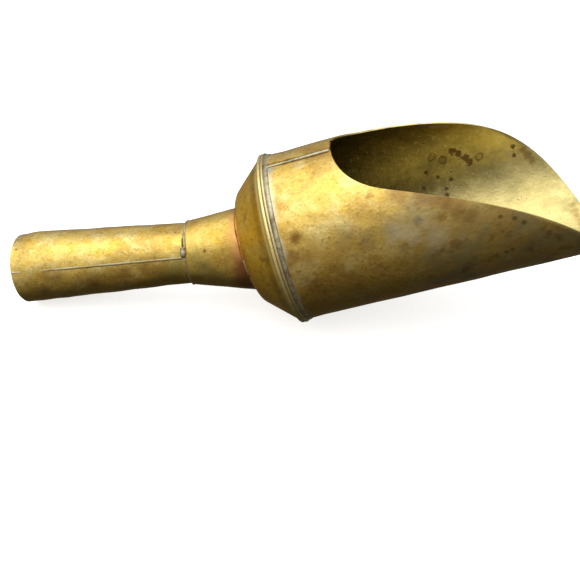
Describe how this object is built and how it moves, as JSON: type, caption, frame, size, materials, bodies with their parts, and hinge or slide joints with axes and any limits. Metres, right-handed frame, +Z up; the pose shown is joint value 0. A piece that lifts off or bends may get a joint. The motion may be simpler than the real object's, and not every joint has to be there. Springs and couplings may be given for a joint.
{
  "type": "hand scoop",
  "caption": "Hand scoop of soldered sheet brass: a round barrel cut open into a trough blade, with a dished back cap, a tapered socket and a hollow tube handle.",
  "frame": {"origin": "centre of the footprint box at the surface that the scoop rests on, tipped back on its rim and on the end of its handle", "axes": "+X from the handle toward the tip of the blade, +Y across the scoop, +Z up"},
  "size_m": [0.2216, 0.0654, 0.07],
  "materials": {
    "bowl_brass": "worn, mottled sheet brass, brighter on the outside and brown in the trough",
    "cap_brass": "dull, darkened sheet brass with a bright rolled lip",
    "socket_brass": "darkened sheet brass with a coppery heat tint near its foot",
    "tube_brass": "handled, slightly dented sheet brass with small pits",
    "soft_solder": "dull grey soft solder, wiped and uneven"
  },
  "bodies": {
    "root": {"bowl_sheet": "bowl_brass", "back_cap": "cap_brass", "handle_socket": "socket_brass", "handle_tube": "tube_brass", "handle_end_cap": "tube_brass", "rim_solder": "soft_solder", "bowl_seam_solder": "soft_solder", "socket_foot_solder": "soft_solder", "socket_seam_solder": "soft_solder", "handle_joint_solder": "soft_solder", "handle_seam_solder": "soft_solder", "end_cap_solder": "soft_solder"}
  },
  "joints": []
}
